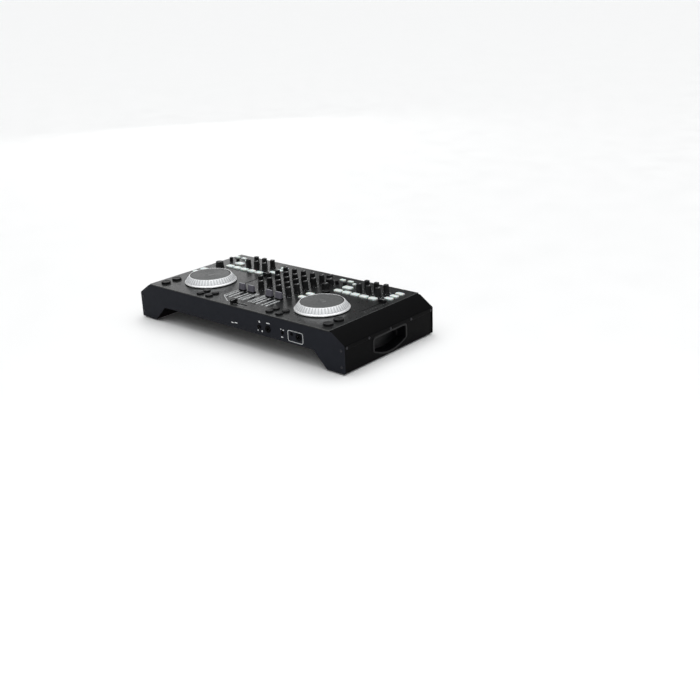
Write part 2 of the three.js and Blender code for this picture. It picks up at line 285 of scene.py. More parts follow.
# Turns that stand a flat shape up, with its upper face to one side of the console.
FACING_FRONT = turned(90, "X")
FACING_BACK = turned(180) @ FACING_FRONT
FACING_SIDE = {side: turned(90 * side) @ FACING_FRONT for _, side in SIDES}


class Shape:
    """A piece's faces in millimetres, each with the number of its finish."""

    def __init__(self):
        self.points, self.faces, self.finishes = [], [], []

    def add(self, part, number=0, place=(0, 0, 0), turn=None):
        points, faces = part
        move = Matrix.Translation(place) @ (turn or Matrix())
        start = len(self.points)
        self.points += [move @ Vector(p) for p in points]
        self.faces += [[start + i for i in face] for face in faces]
        self.finishes += [number] * len(faces)
        return self


def to_mesh(name, shape, finishes, sharp=18):
    """The mesh of a shape, smooth except at edges of more than sharp degrees."""
    mesh = bpy.data.meshes.new(name)
    mesh.from_pydata([p * MM for p in shape.points], [], shape.faces)
    for material in finishes:
        mesh.materials.append(material)
    mesh.polygons.foreach_set("material_index", shape.finishes)
    work = bmesh.new()
    work.from_mesh(mesh)
    bmesh.ops.remove_doubles(work, verts=work.verts, dist=1e-7)
    bmesh.ops.recalc_face_normals(work, faces=work.faces)
    work.to_mesh(mesh)
    work.free()
    mesh.shade_smooth()
    mesh.set_sharp_from_angle(angle=math.radians(sharp))
    return mesh


def put(name, mesh, body, slot=None, stands_for=(), place=(0, 0, 0), turn=None):
    """Puts a mesh in the scene as a piece that rides on a body."""
    piece = new_object(name, mesh)
    piece.matrix_world = Matrix.Translation(Vector(place) * MM) @ (turn or Matrix())
    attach(piece, body)
    if stands_for:
        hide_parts(*stands_for)


def put_shape(name, shape, finishes, *more, **places):
    """Puts a piece whose mesh has its own name. The rest is as for put."""
    put(name, to_mesh(name, shape, finishes), *more, **places)


# ---- materials ----
MIX_COLOURS = (6, 7)  # a Mix node's sockets for two colours
MIX_RESULT = 2  # and for the mixed one


def finish(name, colour, roughness, metallic=0.0, tint=0.15, cloud=40, smudge=0.08,
           grain=1500, relief=0.02, **more):
    """A procedural surface: a cloudy tint, uneven gloss and a fine grain of relief millimetres.
    cloud and grain are noise scales. more holds other shader inputs, with _ for each space."""
    material = bpy.data.materials.new(name)
    material.use_nodes = True
    nodes, links = material.node_tree.nodes, material.node_tree.links
    shader = nodes["Principled BSDF"]
    shader.inputs["Metallic"].default_value = metallic
    for socket, value in more.items():
        shader.inputs[socket.replace("_", " ")].default_value = value
    place = nodes.new("ShaderNodeTexCoord").outputs["Object"]

    def noise(scale, detail):
        node = nodes.new("ShaderNodeTexNoise")
        node.inputs["Scale"].default_value = scale
        node.inputs["Detail"].default_value = detail
        links.new(place, node.inputs["Vector"])
        return node.outputs["Fac"]

    patches = noise(cloud, 4)
    mix = nodes.new("ShaderNodeMix")
    mix.data_type = "RGBA"
    links.new(patches, mix.inputs["Factor"])
    for socket, share in zip(MIX_COLOURS, (1 - tint, 1 + tint)):
        mix.inputs[socket].default_value = [min(c * share, 1) for c in colour] + [1]
    links.new(mix.outputs[MIX_RESULT], shader.inputs["Base Color"])
    gloss = nodes.new("ShaderNodeMapRange")
    gloss.inputs["From Min"].default_value = 0.3
    gloss.inputs["From Max"].default_value = 0.7
    gloss.inputs["To Min"].default_value = roughness - smudge
    gloss.inputs["To Max"].default_value = roughness + smudge
    links.new(noise(cloud * 2.7, 3), gloss.inputs["Value"])
    links.new(gloss.outputs["Result"], shader.inputs["Roughness"])
    bump = nodes.new("ShaderNodeBump")
    bump.inputs["Strength"].default_value = 0.6
    bump.inputs["Distance"].default_value = relief * MM
    links.new(noise(grain, 2), bump.inputs["Height"])
    links.new(bump.outputs["Normal"], shader.inputs["Normal"])
    return material


PANEL_BLACK = finish(
    "panel_black", (0.009, 0.0095, 0.0095), 0.3, tint=0.12, smudge=0.04, relief=0.004,
    Specular_IOR_Level=0.33,
)
CASE_BLACK = finish(
    "case_black", (0.0015, 0.0015, 0.0017), 0.42, smudge=0.06, grain=1100, relief=0.03,
    Specular_IOR_Level=0.035,
)
RECESS_BLACK = finish(
    "recess_black", (0.003, 0.003, 0.0036), 0.34, smudge=0.05, grain=1100, Specular_IOR_Level=0.2,
)
FRONT_GRAPHITE = finish(
    "front_graphite", (0.012, 0.0135, 0.0185), 0.42, grain=1300, Specular_IOR_Level=0.06,
)
FINE = {"grain": 2500, "relief": 0.01}
SILVERED = {"metallic": 0.35, "cloud": 90, **FINE}
JOG_SILVER = finish("jog_silver", (0.93, 0.935, 0.94), 0.3, tint=0.04, **SILVERED)
# A silver a little darker than the rings' for the ribs: painted shade, so the rings read brighter.
JOG_RIB_SHADED = finish("jog_rib_shaded", (0.87, 0.88, 0.89), 0.34, tint=0.04, **SILVERED)
# A darker silver for the slope between the ribs: painted shade in the grooves.
JOG_GROOVE_SHADE = finish("jog_groove_shade", (0.60, 0.61, 0.62), 0.42, tint=0.1, **SILVERED)
JOG_GREY = finish("jog_grey", (0.088, 0.091, 0.090), 0.42, 0.35, tint=0.06, grain=1800)
KEY_WHITE = finish(
    "key_white", (0.74, 0.80, 0.775), 0.36, tint=0.03, cloud=120, grain=1600,
    Subsurface_Weight=0.1, Subsurface_Scale=0.002,
)
KNOB_BLACK = finish("knob_black", (0.005, 0.005, 0.0055), 0.46, relief=0.04, Specular_IOR_Level=0.3)
KEY_BLACK = finish("key_black", (0.006, 0.006, 0.0065), 0.4, relief=0.03, Specular_IOR_Level=0.2)
CAP_GREY = finish("cap_grey", (0.105, 0.100, 0.125), 0.36, tint=0.08, grain=1400, relief=0.03)
PRINT_WHITE = finish(
    "print_white", (0.70, 0.72, 0.72), 0.55, tint=0.12, cloud=300, grain=3000, relief=0.01,
)
# A light grey for the line round the panel's edge: a painted highlight of the edge.
EDGE_HIGHLIGHT = finish("painted_edge_highlight", (0.16, 0.165, 0.165), 0.35, 0.4, tint=0.2, cloud=200, **FINE)
SCREW_STEEL = finish("screw_steel", (0.045, 0.045, 0.05), 0.38, 0.8, cloud=300, grain=2500)
NICKEL = finish("nickel", (0.62, 0.60, 0.57), 0.25, 1.0, tint=0.08, cloud=300, **FINE)
DARK_INSIDE = finish("dark_inside", (0.004, 0.004, 0.004), 0.6, grain=900, relief=0.03)
FOOT_RUBBER = finish("foot_rubber", (0.014, 0.014, 0.014), 0.75, grain=900, relief=0.08)
BOARD_GREEN = finish(
    "board_green", (0.012, 0.060, 0.028), 0.35, tint=0.35, cloud=160, grain=700, relief=0.05,
)
SOCKET_RED = finish("socket_red", (0.38, 0.02, 0.02), 0.4, cloud=200)
SOCKET_IVORY = finish("socket_ivory", (0.62, 0.60, 0.55), 0.4, cloud=200)


# ---- layout of the keys, the same as the frame's ----
class Key:
    """A soft key: its middle, with x from the deck's centre line, its size, and its rise above the
    panel. A key with no depth is round."""

    def __init__(self, name, x, y, width, depth=None, rise=KEY_RISE, dark=False):
        self.name, self.x, self.y = name, x, y
        self.width, self.depth = width, depth
        self.rise, self.dark = rise, dark

    def outline(self, x, grow):
        """The outline around this key, with x as the deck's centre line."""
        if self.depth is None:
            return circle(x + self.x, self.y, self.width / 2 + grow)
        width, depth = self.width + 2 * grow, self.depth + 2 * grow
        return rectangle(x + self.x, self.y, width, depth, self.corner() + grow)

    def corner(self):
        return KEY_CORNER * min(self.width, self.depth)


PAD_PITCH = 26.5
CLUSTER_OFFSETS = ((-15.5, -10.3), (-15.5, 10.3), (15.5, -10.3), (15.5, 10.3))


def deck_keys(side):
    """The keys of one deck: the light ones and pegs in the same places on both, the round ones
    below the jog wheel mirrored."""
    keys = [Key(f"pad_{i + 3}", PAD_PITCH * i, 62, 23, 16) for i in range(-2, 3)]
    keys.append(Key("wide_pad", -49, 92, 27, 18))
    keys += [Key(f"column_key_{i + 1}", 84, y, 22, 14) for i, y in enumerate((82.5, 103, 124))]
    keys += [Key(f"side_key_{i + 1}", -91.5, y, 22, 15) for i, y in enumerate((5, -22))]
    keys += [Key(f"back_key_{i + 1}", x, 132, 16, 10) for i, x in enumerate((-99, -74))]
    keys.append(Key("square_key", -53, 121, 9, 9))
    for i, x in enumerate((-93.5, -68)):
        keys.append(Key(f"peg_key_{i + 1}", x, 103.5, 8.8, rise=KEY_RISE + 6, dark=True))
    if side > 0:
        keys.append(Key("loop_key", -70, 38, 18, rise=KEY_RISE + 2, dark=True))
    for i, (dx, dy) in enumerate(CLUSTER_OFFSETS):
        x, y = -70 * side + dx, dy - 128.5
        keys.append(Key(f"cluster_key_{i + 1}", x, y, 18.4, rise=KEY_RISE + 0.5, dark=True))
    for name, y in (("cue_key", -95), ("play_key", -129.5)):
        keys.append(Key(name, 84 * side, y, 23, rise=KEY_RISE + 1.5, dark=True))
    return keys


# Travel of each sliding body, from its place at rest.
SLIDES = {
    joint["child"]: [end / MM for end in joint["range_m"]]
    for joint in frame["joints"] if joint["type"] == "slide"
}


# ---- control panel ----
def slot_along_y(body):
    """The slot that the stem of this body's cap runs in."""
    low, high = SLIDES[body]
    place = middle(f"{body}_cap")
    length = high - low + SLOT_SPARE
    return rectangle(place.x, place.y + (low + high) / 2, FADER_SLOT, length, FADER_SLOT / 2)


def make_panel():
    holes = [circle(middle(n).x, middle(n).y, KNOB_HOLE, HOLE_SIDES) for n in KNOB_NODES]
    holes += [circle(x, y, KNOB_HOLE, HOLE_SIDES) for _, x, y, _ in FIXED_KNOBS]
    for word, side in SIDES:
        holes.append(circle(DECK[side].x, DECK[side].y, HUB_HOLE))
        holes += [key.outline(DECK[side].x, KEY_GAP) for key in deck_keys(side)]
        holes.append(slot_along_y(f"{word}_tempo"))
    holes += [slot_along_y(f"channel{i}_fader") for i in range(1, 5)]
    low, high = SLIDES["crossfader"]
    cross = middle("crossfader_cap")
    length = high - low + SLOT_SPARE
    holes.append(rectangle(cross.x + (low + high) / 2, cross.y, length, FADER_SLOT, FADER_SLOT / 2))
    span = size("top_panel")
    outline = rectangle(0, 0, span.x, span.y, 0.8)
    shape = Shape().add(plate(outline, holes, PANEL_LOW.z, PANEL_TOP))
    put_shape("control_panel", shape, [PANEL_BLACK], "case", "panel_black", ["top_panel"])


def make_tempo_lips():
    """Dust strips just under the panel, on both sides of each tempo slot."""
    for word, _ in SIDES:
        low, high = SLIDES[f"{word}_tempo"]
        cap = middle(f"{word}_tempo_cap")
        length = high - low + SLOT_SPARE - 3
        width = (FADER_SLOT - STEM_WIDTH) / 2 - 0.25
        shape = Shape()
        for side in (-1, 1):
            offset = side * (FADER_SLOT - width) / 2
            shape.add(slab(width, length, -0.9, -0.3, 0.1, 0.05), place=(offset, 0, 0))
        place = (cap.x, cap.y + (low + high) / 2, PANEL_TOP)
        put(f"{word}_tempo_lips", to_mesh("tempo_lips", shape, [PANEL_BLACK]), "case", place=place)


# ---- knobs ----
SHAFT_RADIUS = 3
FLUTE_DEPTH = 0.5
TALL_KNOB = 20  # the skirts of knobs above this height stand out further


def knob_mesh(name, skirt, grip, tip, height, shaft_length, flutes):
    """A fluted knob on its shaft, with a white pointer over the top and down the back. skirt,
    grip and tip are its radii from the panel up. z is measured from the panel."""
    foot, shoulder, lip = 0.6, 3.6, height - 0.6

    def fluted(radius, z, angle):
        if not shoulder < z < lip:
            return radius
        fade = min(1, (z - shoulder) / 1.5, (lip - z) / 1.0)
        return radius - FLUTE_DEPTH * fade * (0.5 - 0.5 * math.cos(flutes * angle)) ** 0.6

    def pointer_section(near, far, z):
        return [(-0.4, near, z), (0.4, near, z), (0.4, far, z), (-0.4, far, z)]

    profile = [(0, -shaft_length), (SHAFT_RADIUS, -shaft_length), (SHAFT_RADIUS, foot)]
    profile += [(skirt - 0.4, foot), (skirt, foot + 0.4)]
    profile += [(skirt, 2.3), (skirt - 0.2, 2.8), (grip + 0.1, 3.2), (grip, shoulder)]
    for part in spread(0, 1, count=8)[1:]:
        z = shoulder + 0.4 + (lip - shoulder - 0.6) * part
        profile.append((grip + (tip - grip) * part, z))
    profile += [(tip - 0.05, lip), (tip - 0.25, height - 0.2), (tip - 0.8, height)]
    profile += [(tip - 1.3, height), (tip - 1.5, height - 0.25), (0, height - 0.25)]
    pointer_top = slab(0.9, tip - 1.2, height - 0.4, height + 0.08, 0.3, 0.1)
    pointer_back = loft([
        pointer_section(grip - 0.4, grip + 0.15, 4.4),
        pointer_section(tip - 0.6, tip + 0.12, height - 0.5),
    ])
    shape = Shape().add(lathe(profile, 8 * flutes, fluted))
    shape.add(pointer_top, 1, (0, tip / 2 + 0.3, 0)).add(pointer_back, 1)
    return to_mesh(name, shape, [KNOB_BLACK, PRINT_WHITE], 40)


def make_knobs():
    made = {}
    for node in KNOB_NODES:
        low, high = box_mm(node)
        skirt = round((high.x - low.x) / 2, 2)
        height = round(high.z - PANEL_TOP, 2)
        if (skirt, height) not in made:
            tall = height > TALL_KNOB
            grip, tip = (skirt - 1, skirt - 1.7) if tall else (skirt - 0.5, skirt - 1.3)
            flutes = 18 if tall else 24
            shaft_length = PANEL_TOP - low.z
            made[skirt, height] = knob_mesh(node, skirt, grip, tip, height, shaft_length, flutes)
        made[node] = made[skirt, height]
        place = (middle(node).x, middle(node).y, PANEL_TOP)
        put(f"{node}_body", made[node], node, "knob_black", [node], place)
    for name, x, y, like in FIXED_KNOBS:
        put(name, made[like], "case", "knob_black", place=(x, y, PANEL_TOP))


# ---- jog wheels ----
RIB_COUNT = 48
RIB_SHARE = 0.64  # share of a rib's pitch that it takes
RIB_HEIGHT = 0.65
RIB_SECTION = (
    (-0.5, -0.3), (-0.5, 0.45), (-0.34, 0.9), (0, 1.0), (0.34, 0.9), (0.5, 0.45), (0.5, -0.3),
)
RIB_ENDS = ((0, 0.1), (0.04, 0.75), (0.1, 1.0), (0.5, 1.0), (0.92, 1.0), (0.97, 0.75), (1, 0.1))
WHEEL_SIDES = 144
JOG_FOOT = 1.4  # underside of the rim above the panel
FOOT_RING = 4.6  # height of the smooth ring under the ribs
GROOVE_COUNT = 22  # turned grooves of the touch disc
GROOVE_PITCH = 1.6


def rib(low, high, width_low, width_high, height):
    """A rounded rib up a slope in the x-z plane, from one (radius, z) to the other. RIB_SECTION
    is its section, and RIB_ENDS how high it stands along its length, both for a size of 1."""
    slope = (Vector(high) - Vector(low)).normalized()
    normal = Vector((slope.y, -slope.x))
    rings = []
    for part, rise in RIB_ENDS:
        centre = Vector(low).lerp(Vector(high), part)
        width = width_low + (width_high - width_low) * part
        ring = []
        for across, up in RIB_SECTION:
            point = centre + normal * (up * height * rise if up > 0 else up)
            ring.append((point.x, across * width, point.y))
        rings.append(ring)
    return loft(rings)


def jog_rim_mesh(radius, disc_radius, height, hub_low):
    """The ribbed rim on its hub: ribs on a slope between a foot ring and a crest ring. Painted
    shade darkens the silver of the ribs a little, and of the slope between them more.
    z is measured from the panel."""
    inner = disc_radius + 0.7
    crest = inner + 1.0
    waist = JOG_FOOT + FOOT_RING
    slope_low, slope_high = (radius - 3.2, waist - 0.1), (crest + 0.7, height - 0.9)
    foot_ring = [
        (inner, JOG_FOOT + 0.4), (radius - 1.4, JOG_FOOT), (radius - 0.3, JOG_FOOT + 0.4),
        (radius, JOG_FOOT + 1.0), (radius - 0.1, JOG_FOOT + 1.7), (radius - 0.6, JOG_FOOT + 2.4),
        (radius - 2.6, waist - 0.3), (radius - 3.2, waist), (inner, waist),
    ]
    slope = [(inner, waist - 1.5), slope_low, slope_high]
    slope += [(crest, height - 0.7), (inner, height - 0.7)]
    crest_ring = [
        (inner, height - 2), (crest + 1.1, height - 1.3), (crest + 0.9, height - 0.6),
        (crest + 0.3, height), (inner + 0.3, height), (inner, height - 0.3),
    ]
    well = [
        (0, hub_low), (9, hub_low), (9, JOG_FOOT + 0.5), (inner + 0.2, JOG_FOOT + 0.5),
        (inner + 0.2, height - 0.4), (inner - 0.15, height - 0.4), (inner - 0.15, height - 3.2),
        (0, height - 3.2),
    ]
    shape = Shape()
    # The slope takes the darker silver, painted shade in the grooves between the ribs.
    for profile, number in ((foot_ring, 0), (slope, 1), (crest_ring, 0), (well, 2)):
        shape.add(lathe(profile, WHEEL_SIDES), number)
    pitch = 2 * math.pi / RIB_COUNT
    widths = [RIB_SHARE * pitch * end[0] for end in (slope_low, slope_high)]
    one_rib = rib(slope_low, slope_high, *widths, RIB_HEIGHT)
    for i in range(RIB_COUNT):
        # The ribs take the slightly darker silver, a painted shade.
        shape.add(one_rib, 3, turn=Matrix.Rotation(i * pitch, 4, "Z"))
    return to_mesh("jog_rim", shape, [JOG_SILVER, JOG_GROOVE_SHADE, DARK_INSIDE, JOG_RIB_SHADED], 28)


def jog_disc_mesh(radius, low, high):
    """The touch disc: a chamfered edge, a shallow channel and fine turned grooves."""
    profile = [(0, low), (radius - 0.3, low), (radius, low + 0.3)]
    profile += [(radius, high - 1.0), (radius - 1.2, high)]
    for groove in range(GROOVE_COUNT):
        bottom = radius - 4 - GROOVE_PITCH * groove
        profile += [(bottom + 0.3, high), (bottom, high - 0.09), (bottom - 0.3, high)]
    profile += [(8.4, high), (7.9, high - 0.35), (0, high - 0.35)]
    return to_mesh("jog_disc", Shape().add(lathe(profile, WHEEL_SIDES)), [JOG_GREY], 40)


def make_jogs():
    """Each wheel's rim and disc, and the dark ring that it turns above."""
    for word, side in SIDES:
        low, high = box_mm(f"{word}_jog_rim")
        disc_low, disc_high = box_mm(f"{word}_jog_disc")
        radius = (high.x - low.x) / 2
        disc_radius = (disc_high.x - disc_low.x) / 2
        rim = jog_rim_mesh(radius, disc_radius, high.z - PANEL_TOP, low.z - PANEL_TOP)
        disc = jog_disc_mesh(disc_radius - 0.5, disc_low.z - PANEL_TOP, disc_high.z - PANEL_TOP)
        place = (DECK[side].x, DECK[side].y, PANEL_TOP)
        put(f"{word}_jog_ring", rim, f"{word}_jog", "jog_silver", [f"{word}_jog_rim"], place)
        put(f"{word}_jog_touch_disc", disc, f"{word}_jog", "jog_grey", [f"{word}_jog_disc"], place)
        inner, top = 12, JOG_FOOT - 0.4
        base = [(inner, 0.05), (radius - 2, 0.05), (radius - 1.7, 0.3)]
        base += [(radius - 2.6, top), (inner, top)]
        base_mesh = to_mesh("jog_base", Shape().add(lathe(base, 96)), [DARK_INSIDE])
        put(f"{word}_jog_base", base_mesh, "case", place=place)


# ---- fader caps ----
CAP_GAP = 1.0  # underside of a cap above the panel
CAP_SHADE_BASE = 0.2  # share of a tall cap's height that its black base takes, painted shade for the cap's dark lower part


def fader_cap_mesh(name, across, along, height, stem_drop):
    """A cap that slides along y, with a white line across it and its stem below.
    A tall cap is a grey wedge on a black base that is painted shade for its dark lower part, and a
    low one is black and dished for a finger."""
    foot = CAP_GAP
    top = foot + height
    half = along / 2
    stem = slab(STEM_WIDTH, along - 0.6, -stem_drop, foot + 0.5, 0.3, 0.2)
    turn = FACING_SIDE[1]  # stands a section up, along y
    shape = Shape().add(stem, 2)
    if height > along:
        waist = foot + CAP_SHADE_BASE * height
        # The black base is painted shade, for the dark lower part of the cap.
        shape.add(slab(across, along, foot, waist, 0.8, 0.6), 2)
        ridge = 0.34 * half
        back = [(half - 0.4, waist - 0.3), (0.62 * half, waist + 0.3 * (top - waist)), (ridge, top)]
        wedge = rounded(back + [(0, top - 0.35)] + mirrored(back), 0.5, 3)
        shape.add(plate(wedge, [], -across / 2 + 0.4, across / 2 - 0.4, 0.7), 0, turn=turn)
        shape.add(slab(across - 2.2, 0.8, top - 1, top - 0.2, 0.2, 0.08), 1)
        return to_mesh(name, shape, [CAP_GREY, PRINT_WHITE, KEY_BLACK], 24)
    lean = min(1.4, height * 0.1)
    dish = height * 0.16
    crest = []
    for part in spread(0, 1, count=9):
        crest.append(((half - lean) * (1 - 2 * part), top - dish * math.sin(math.pi * part)))
    section = rounded([(-half, foot), (half, foot)], 0.3, 2) + crest
    shape.add(plate(section, [], -across / 2, across / 2, 0.6), 2, turn=turn)
    shape.add(slab(across - 1.4, 0.9, top - dish - 0.4, top - dish + 0.1, 0.2, 0.08), 1)
    return to_mesh(name, shape, [CAP_GREY, PRINT_WHITE, KEY_BLACK])


def make_faders():
    bodies = [f"channel{i}_fader" for i in range(1, 5)]
    bodies += [f"{word}_tempo" for word, _ in SIDES] + ["crossfader"]
    for body in bodies:
        node = f"{body}_cap"
        low, high = box_mm(node)
        across, along, turn = high.x - low.x, high.y - low.y, None
        if body == "crossfader":
            across, along, turn = along, across, turned(90)
        mesh = fader_cap_mesh(node, across, along, high.z - PANEL_TOP - CAP_GAP, PANEL_TOP - low.z)
        place = (middle(node).x, middle(node).y, PANEL_TOP)
        put(f"{node}_body", mesh, body, "cap_grey", [node], place, turn)


# ---- soft keys ----
DISHED_WIDTH = 20  # round keys wider than this are dished
MAT_STRIPS = (  # x from the deck's centre line, y, width and depth
    (0, 62, 135, 8), (84, 95, 8, 70), (-66, 95, 8, 80), (-91.5, -60, 8, 130), (0, -129, 183, 10),
)


def round_key(radius, rise, dished):
    profile = [(0, KEY_ROOT), (radius, KEY_ROOT), (radius, rise - 0.9)]
    profile += [(radius - 0.25, rise - 0.25), (radius - 0.9, rise)]
    if dished:
        profile += [(radius - 2.2, rise), (radius - 3.2, rise - 0.5)]
        profile += [(radius * 0.4, rise - 0.8), (0, rise - 0.85)]
    else:
        profile += [(radius * 0.5, rise + 0.2), (0, rise + 0.25)]
    return lathe(profile, 48)


def key_mesh(key):
    if key.depth is None:
        part = round_key(key.width / 2, key.rise, dished=key.width > DISHED_WIDTH)
    else:
        part = slab(key.width, key.depth, KEY_ROOT, key.rise, key.corner(), 1.1, 0.3)
    name = f"key_{key.width}x{key.depth or key.width}_{key.rise}".replace(".", "_")
    return to_mesh(name, Shape().add(part), [KEY_BLACK if key.dark else KEY_WHITE])


def make_keys():
    """The keys of both decks, and the strips of mat that join them under the panel."""
    made = {}
    for word, side in SIDES:
        body = f"{word}_keys"
        for key in deck_keys(side):
            kind = (key.width, key.depth, key.rise)
            if kind not in made:
                made[kind] = key_mesh(key)
            place = (DECK[side].x + key.x, key.y, PANEL_TOP)
            slot = "knob_black" if key.dark else "key_white"
            put(f"{word}_{key.name}", made[kind], body, slot, place=place)
        mat = Shape()
        for x, y, width, depth in MAT_STRIPS:
            mat.add(slab(width, depth, -4.6, -3.0, 1, 0.3), place=(DECK[side].x + x, y, PANEL_TOP))
        sheet = to_mesh("key_sheet", mat, [KEY_WHITE])
        put(f"{word}_key_sheet", sheet, body, "key_white", [f"{word}_key_mat"])


# ---- case ----
SOCKET_SIDES = 40


def end_plate_outline():
    """The front and rear plates: flat top, sloping shoulders, two legs and the laptop bay."""
    top = FRONT_HIGH.z
    panel_half = PANEL_HIGH.x
    slope = (HALF_WIDTH - panel_half) / (PANEL_TOP - SHOULDER_LOW)
    foot = FRONT_LOW.z
    half = [
        (panel_half + (PANEL_TOP - top) * slope, top), (HALF_WIDTH, SHOULDER_LOW),
        (HALF_WIDTH, foot), (HALF_WIDTH - LEG_WIDTH, foot), (BAY_HALF_WIDTH, BAY_ROOF),
    ]
    return rounded(half + mirrored(half), 1.2)


def tube(outer, bore, length, proud, chamfer=0.5):
    """A bushing with a blind bore: its flange face is proud, and it runs back by length."""
    wall = bore + 1.4
    return lathe([
        (0, -length), (bore, -length), (bore, proud - chamfer), (bore + chamfer, proud),
        (outer - chamfer, proud), (outer, proud - chamfer), (outer, -0.2), (wall, -0.2),
        (wall, -length - 1.5), (0, -length - 1.5),
    ], SOCKET_SIDES)


def ring(outer, inner, low, high):
    return lathe([
        (inner, low), (outer - 0.2, low), (outer, high - 0.3), (outer - 0.3, high), (inner, high),
    ], SOCKET_SIDES)


def screw_mesh():
    """A pan head with a cross recess, its seat at z 0."""
    head = 3.1
    dome = lathe([
        (0, -0.5), (head, -0.5), (head, 0.5), (head - 0.35, 1.1), (head - 1.1, 1.55), (0.9, 1.75),
        (0, 1.78),
    ], 28)
    arm, half_width, floor = 1.75, 0.42, 1.0
    cross = []
    for x, y in ((1, 0), (0, 1), (-1, 0), (0, -1)):
        side_x, side_y = -y * half_width, x * half_width
        cross.append((x * half_width - side_x, y * half_width - side_y))
        cross.append((x * arm - side_x, y * arm - side_y))
        cross.append((x * arm + side_x, y * arm + side_y))

    def steel(name, part):
        return new_object(name, to_mesh(name, Shape().add(part), [SCREW_STEEL]))

    head_object = steel("screw_head", dome)
    cross_object = steel("screw_recess", plate(cross, [], floor, 3, 0.02))
    cut = head_object.modifiers.new("recess", "BOOLEAN")
    cut.object = cross_object
    cut.solver = "EXACT"
    made = evaluated_mesh(head_object)
    bpy.data.objects.remove(cross_object)
    made.shade_smooth()
    made.set_sharp_from_angle(angle=math.radians(30))
    return made


SOCKET_Z = 60
FRONT_SOCKETS = (  # name, x, and radius of the bore and of the flange
    ("phones_jack", 113.5, 3.3, 8.4), ("microphone_jack", 208, 3.3, 8.4),
    ("line_jack", 85.5, 1.9, 5.4),
)
SMALL_JACKS = (("small_jack_1", 159, 60.6), ("small_jack_2", 187, 63.6))


def make_front():
    """Front plate with its sockets; those in FRONT_SOCKETS each have a metal contact ring in the
    bore.
    """
    holes = [circle(x, SOCKET_Z, bore + 1.6, 28) for _, x, bore, _ in FRONT_SOCKETS]
    holes += [circle(x, z, 2.9, 28) for _, x, z in SMALL_JACKS]
    sheet = plate(end_plate_outline(), holes, 0, SHEET)
    shape = Shape().add(sheet, place=(0, FRONT_FACE + SHEET, 0), turn=FACING_FRONT)
    put_shape("front_plate", shape, [FRONT_GRAPHITE], "case", "front_graphite", ["front_panel"])
    for name, x, bore, flange in FRONT_SOCKETS:
        socket = Shape().add(tube(flange, bore, 18, 1.6), 0)
        socket.add(ring(bore + 0.4, bore - 0.15, -1.5, 0.5), 1)
        place = (x, FRONT_FACE, SOCKET_Z)
        put_shape(name, socket, [CASE_BLACK, NICKEL], "case", place=place, turn=FACING_FRONT)
    for name, x, z in SMALL_JACKS:
        socket = Shape().add(tube(4.0, 1.7, 10, 1.2))
        put_shape(name, socket, [CASE_BLACK], "case", place=(x, FRONT_FACE, z), turn=FACING_FRONT)


# Middles of the sockets in the rear bay, from the console's middle.
PIN_JACK_X = (-70, -53, -36, -19)
PIN_JACK_ROW = 6.3  # above and below the bay's middle
OUTPUT_X = (14, 40)
DATA_PORT_X = 66
POWER_INLET_X = 84
PIN_CIRCLE = 3.6  # radius that an output's pins stand on


def pin_jack(insulator):
    jack = Shape().add(tube(5.0, 1.6, 3, 1.0), 1).add(ring(4.1, 3.4, 0.8, 8.5), 0)
    core = [(0, 0.6), (3.2, 0.6), (3.2, 7.0), (1.6, 7.2), (1.3, 3.0), (0, 3.0)]
    jack.add(lathe(core, 32), 1)
    return jack, [NICKEL, insulator]


def balanced_output():
    output = Shape().add(ring(10.6, 8.6, -0.3, 1.6), 1).add(ring(8.7, 7.6, -0.3, 7.5), 0)
    output.add(lathe([(0, -0.3), (8.0, -0.3), (8.0, 0.6), (0, 0.6)], SOCKET_SIDES), 1)
    pin = lathe([(0, 0), (1.2, 0), (1.2, 6.0), (0.7, 6.6), (0, 6.7)], 16)
    for x, y in arc(0, 0, PIN_CIRCLE, 90, 330, 3):
        output.add(pin, 0, (x, y, 0))
    return output, [NICKEL, KEY_BLACK]


def data_port():
    outer, inner = rectangle(0, 0, 12.2, 11.2, 1.5), rectangle(0, 0, 10.6, 9.6, 1.2)
    port = Shape().add(plate(outer, [inner], -0.2, 6.5, 0.2), 0)
    port.add(slab(8.2, 6.4, -0.2, 5.5, 0.8, 0.2), 1)
    return port, [NICKEL, SOCKET_IVORY]


def power_inlet():
    inlet = Shape().add(tube(6.0, 2.9, 1, 5.0), 0)
    inlet.add(lathe([(0, -0.5), (1, -0.5), (1, 4), (0, 4.2)], 16), 1)
    return inlet, [KEY_BLACK, NICKEL]


